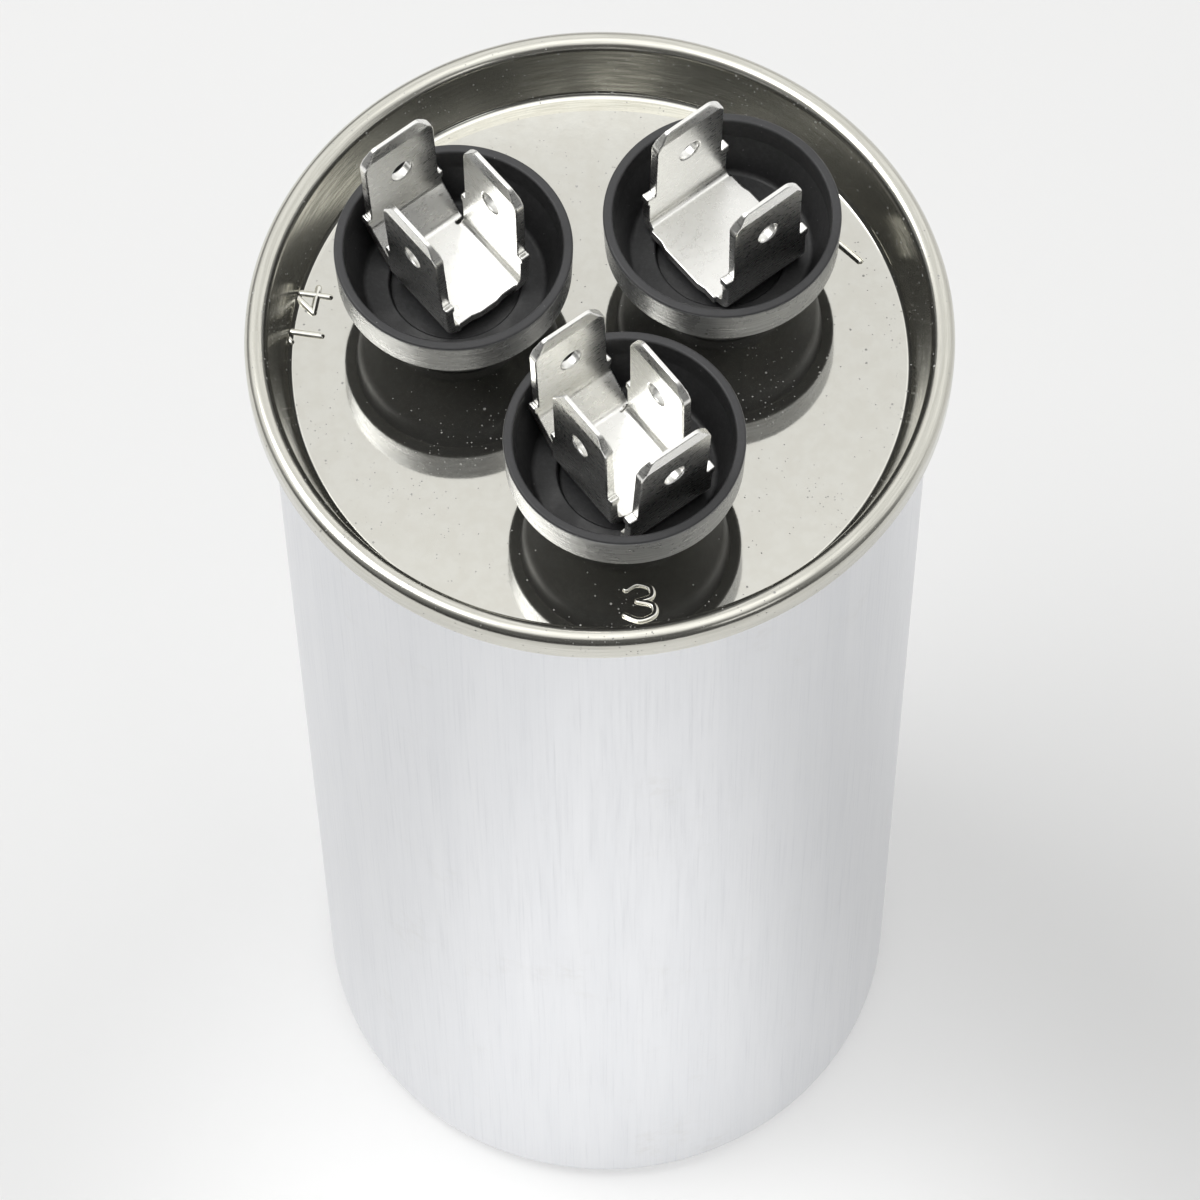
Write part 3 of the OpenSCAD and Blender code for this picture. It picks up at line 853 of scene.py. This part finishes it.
def material_of(name):
    return MATERIALS.get(name) or MATERIALS[next(key for key in MATERIALS if name.startswith(key + "_"))]


for name, obj in nodes.items():
    obj.data.materials.clear()
    obj.data.materials.append(material_of(name))


# ---- Dressed pieces -------------------------------------------------------

def stand_in(piece, node):
    piece.data.materials.append(material_of(node))
    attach(piece, "root")
    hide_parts(node)


stand_in(make_can_shell(), "can")
stand_in(make_cover(), "cover")
for side in SIDES:
    stand_in(make_cup(side), "insulator_" + side)
for side in SIDES:
    stand_in(make_terminal(side), "terminal_" + side)

for name, text, place, turn in (("figure_common", "3", (2.7, -22.1), 0),
                                ("figures_compressor", "14", (-21.0, 2.2), 80),
                                ("figure_fan", "7", (19.9, 8.6), 70)):
    make_figures(name, text, place, turn).data.materials.append(tinplate)


# ---- Floor and light ------------------------------------------------------

FLOOR_HALF = 0.9


def make_floor():
    """Pale floor that takes the shadow; rays that show it also get a glow, stronger before the can."""
    bm = bmesh.new()
    bmesh.ops.create_grid(bm, x_segments=1, y_segments=1, size=FLOOR_HALF)
    mesh = bpy.data.meshes.new("floor")
    bm.to_mesh(mesh)
    floor = bpy.data.objects.new("floor", mesh)
    scene.collection.objects.link(floor)
    mat, s = material("floor")
    path = s.add("ShaderNodeLightPath").outputs
    seen = s.math("MAXIMUM", path["Is Camera Ray"], path["Is Glossy Ray"])
    seen = s.math("MAXIMUM", seen, path["Is Transmission Ray"])
    x, y, _ = s.split(s.millimetres())
    nearby = s.ramp(radius_of(s, x, s.math("ADD", y, 40.0)), 60.0, 12.0, 0.12, 0.44)
    lit = s.add("ShaderNodeBsdfDiffuse", {"Color": grey(0.72)})
    glow = s.add("ShaderNodeEmission", {"Color": grey(1.0), "Strength": s.times(seen, nearby)})
    both = s.add("ShaderNodeAddShader")
    s.put(both.inputs[0], lit)
    s.put(both.inputs[1], glow)
    s.add("ShaderNodeOutputMaterial", {"Surface": both})
    floor.data.materials.append(mat)


# Azimuth, elevation and half width in degrees, and strength
LIT_PATCHES = ((-52, 31, 9, 1.3), (-176, 37, 8, 0.7), (-14, 36, 14, 0.35))


def make_world():
    """Very bright overhead, a dim ring low round the front, and a few softly lit patches."""
    world = bpy.data.worlds.new("studio")
    scene.world = world
    s = Shader(world)
    direction = s.add("ShaderNodeTexCoord").outputs["Generated"]
    x, y, z = s.split(direction)
    overhead = s.ramp(z, 0.862, 1.0, 0.80, 1.55)
    strip = s.ramp(z, 0.850, 0.843, 0.0, 0.25)
    front = s.times(s.ramp(y, 0.10, -0.25), s.ramp(z, 0.88, 0.76), 0.76)
    dark = s.times(s.ramp(y, -0.40, -0.68), s.ramp(z, 0.88, 0.76), 0.55)
    horizon = s.times(s.ramp(z, 0.50, 0.10), s.ramp(x, 0.5, -0.5, 0.30, 0.75))
    level = s.math("ADD", overhead, strip)
    for loss in (front, dark, horizon):
        level = s.times(level, s.math("SUBTRACT", 1.0, loss))
    for azimuth, elevation, spread, power in LIT_PATCHES:
        aim = (cos_of(azimuth) * cos_of(elevation), sin_of(azimuth) * cos_of(elevation), sin_of(elevation))
        near = s.add("ShaderNodeVectorMath", {0: direction, 1: aim},
                     operation="DOT_PRODUCT").outputs["Value"]
        level = s.math("ADD", level, s.ramp(near, cos_of(spread), cos_of(spread * 0.5), 0.0, power))
    sky = s.add("ShaderNodeBackground", {"Color": (1, 1, 0.99, 1), "Strength": level})
    s.add("ShaderNodeOutputWorld", {"Surface": sky})


def add_lamp(name, place, target, size, power):
    lamp = bpy.data.objects.new(name, bpy.data.lights.new(name, "AREA"))
    scene.collection.objects.link(lamp)
    lamp.data.size = size
    lamp.data.energy = power
    lamp.location = place
    lamp.rotation_mode = "QUATERNION"
    lamp.rotation_quaternion = (Vector(target) - Vector(place)).to_track_quat("-Z", "Y")


make_floor()
make_world()
add_lamp("key", (-0.45, 0.05, 0.9), (0, 0, 0.06), 0.5, 3.0)

# ---- Finish ---------------------------------------------------------------

scene.view_settings.view_transform = "Standard"
